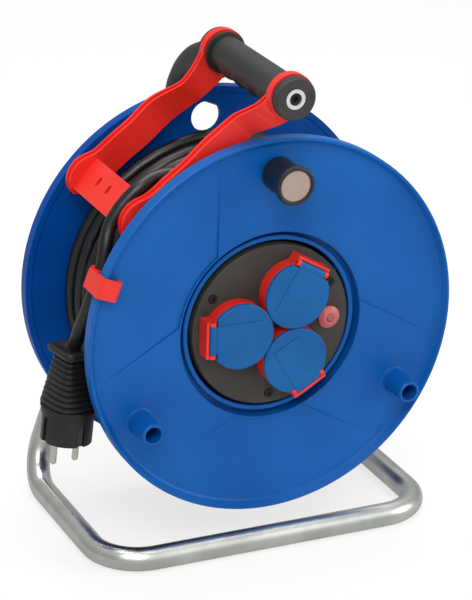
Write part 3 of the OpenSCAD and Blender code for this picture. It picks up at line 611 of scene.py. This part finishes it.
def nickel_plate(place):
    tint = place.noise(500, 3)
    return {
        "Base Color": tint.mix(paint(206, 200, 190), paint(226, 222, 214)),
        "Metallic": 1.0,
        "Roughness": 0.14 + tint * 0.14,
        "Normal": tint.bump(0.00002),
    }


# Painted shade: the earth strips get a dull, dark metal colour that stands in for the shade of the slots
# they sit in, mottled at random between two dark tones.
def shade_darkened_metal(place):
    mottle = place.noise(400, 3)
    return {
        "Base Color": mottle.mix(paint(66, 62, 55), paint(96, 90, 78)),
        "Metallic": 0.8,
        "Roughness": 0.36 + mottle * 0.16,
        "Normal": mottle.bump(0.00003),
    }


PLUG_RUBBER = finish(plug_rubber)
dress(PLUG_RUBBER, "plug_body")
dress(finish(nickel_plate), "plug_pins", "earth_clips", "hinge_pins")
dress(finish(shade_darkened_metal), "plug_earth")

PLUG_LEAN, PLUG_TURN = math.radians(5.4), math.radians(12)
RIBS, FIRST_RIB, RIB_PITCH = 9, 8, 4.15
AROUND = 56
CREASE = math.radians(34)
# Height below the cord's end, reach of the corners, and squareness of each ring, in mm
BOOT = [(3, 6.2, 2), (0.8, 11.5, 3), (0, 17, 5), (0.5, 19.2, 6), (1.5, 19.7, 6), (3.8, 19.7, 6),
        (4.8, 19, 6), (5.6, 14.6, 6), (7.6, 14.2, 6)]
for rib in range(RIBS):
    low, wide, square = FIRST_RIB + rib * RIB_PITCH, 14.9 + rib * 0.8, 6 - rib * 0.35
    BOOT += [(low, wide - 1.5, square), (low + 0.7, wide, square),
             (low + 2.7, wide + 0.4, square), (low + 3.3, wide - 1.3, square)]
BOOT += [(45, 21.2, 2.2), (46, 21.3, 2)]
hold = (Matrix.Translation(at(*ROUTE[-1])) @ Matrix.Rotation(PLUG_LEAN, 4, "Y")
        @ Matrix.Rotation(PLUG_TURN, 4, "Z") @ Matrix.Rotation(math.pi, 4, "X"))
knead = bmesh.new()
hoops = []
for low, corner, square in BOOT:
    flat = corner / 2 ** (0.5 - 1 / square) / 1000
    hoop = []
    for k in range(AROUND):
        c, s = math.cos(2 * math.pi * k / AROUND), math.sin(2 * math.pi * k / AROUND)
        far = flat / (abs(c) ** square + abs(s) ** square) ** (1 / square)
        hoop.append(knead.verts.new(hold @ Vector((far * c, far * s, low / 1000))))
    hoops.append(hoop)
for first, second in zip(hoops, hoops[1:]):
    for k in range(AROUND):
        n = (k + 1) % AROUND
        knead.faces.new((first[k], first[n], second[n], second[k]))
knead.faces.new(hoops[0])
knead.faces.new(hoops[-1])
bmesh.ops.recalc_face_normals(knead, faces=knead.faces)
shape = bpy.data.meshes.new("plug_boot_ribbed")
knead.to_mesh(shape)
knead.free()
for face in shape.polygons:
    face.use_smooth = True
shape.set_sharp_from_angle(angle=CREASE)
shape.materials.append(PLUG_RUBBER)
boot = added("plug_boot_ribbed", shape)
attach(boot, "stand")
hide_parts("plug_boot")
length = sum((b - a).length for a, b in zip(route, route[1:]))

# ---- Socket dish ----
# A dark grey heat-proof moulding in the bowl that carries the sockets. Its mould was
# sandblasted, so the face is matt and even.


def dish_grey(place):
    grain = place.noise(1900, 3)
    cloud = place.noise(40, 2)
    return {
        "Base Color": cloud.ramp(0.3, 0.7).mix(paint(52, 50, 48), paint(60, 58, 54)),
        "Roughness": 0.5 + grain * 0.16,
        "Specular IOR Level": 0.35,
        "Normal": grain.bump(0.00007),
    }


dress(finish(dish_grey), "socket_dish")


def matt_black(place):
    grain = place.noise(1500, 2)
    return {
        "Base Color": grain.mix(paint(26, 26, 27), paint(36, 36, 37)),
        "Roughness": 0.5 + grain * 0.1,
        "Normal": grain.bump(0.00005),
    }


dress(
    finish(matt_black),
    "socket_insert_a", "socket_insert_b", "socket_insert_c", "breaker", "cord_gland",
)

# ---- Socket lids ----
# Three sprung lids of blue plastic, each on a steel pin. Their faces are plain, with a
# low raised strip that runs from the hinge.


def lid_blue(place):
    ripple = place.noise(90, 2)
    fan = place.noise(30, 2)
    return {
        "Base Color": fan.ramp(0.3, 0.7).mix(paint(0, 83, 146), paint(1, 91, 155)),
        "Roughness": 0.36 + ripple * 0.1,
        "Specular IOR Level": 0.25,
        "Normal": (ripple * 0.5 + place.noise(1300, 2) * 0.5).bump(0.00007),
    }


dress(finish(lid_blue), "lid_a", "lid_b", "lid_c")

# ---- Overload switch ----
# A push button under a soft, cloudy red cover, which keeps water out.


def red_rubber(place):
    cloud = place.noise(140, 3)
    return {
        "Base Color": cloud.mix(paint(178, 92, 94), paint(200, 112, 112)),
        "Roughness": 0.3 + cloud * 0.12,
        "Subsurface Weight": 0.25,
        "Subsurface Radius": (0.004, 0.001, 0.001),
        "Normal": place.noise(1200, 2).bump(0.00004),
    }


def dark_red(place):
    cloud = place.noise(200, 2)
    return {
        "Base Color": cloud.mix(paint(150, 66, 76), paint(168, 82, 90)),
        "Roughness": 0.36 + cloud * 0.1,
        "Normal": place.noise(1200, 2).bump(0.00003),
    }


dress(finish(red_rubber), "reset_cover")
dress(finish(dark_red), "reset_button")

# ---- Winding knob ----
# A black knob that turns on its spindle, with a plain pale disc snapped into its end.


def knob_black(place):
    grain = place.noise(1400, 3)
    return {
        "Base Color": grain.mix(paint(20, 20, 22), paint(29, 29, 31)),
        "Roughness": 0.34 + grain * 0.12,
        "Specular IOR Level": 0.5,
        "Normal": grain.bump(0.00004),
    }


def pale_disc(place):
    brushed = place.noise(900, 3, (0.08, 1, 1))
    return {
        "Base Color": brushed.mix(paint(160, 138, 128), paint(180, 160, 150)),
        "Metallic": 0.15,
        "Roughness": 0.34 + brushed * 0.14,
        "Normal": brushed.bump(0.00003),
    }


dress(finish(knob_black), "knob")
dress(finish(pale_disc), "knob_disc")
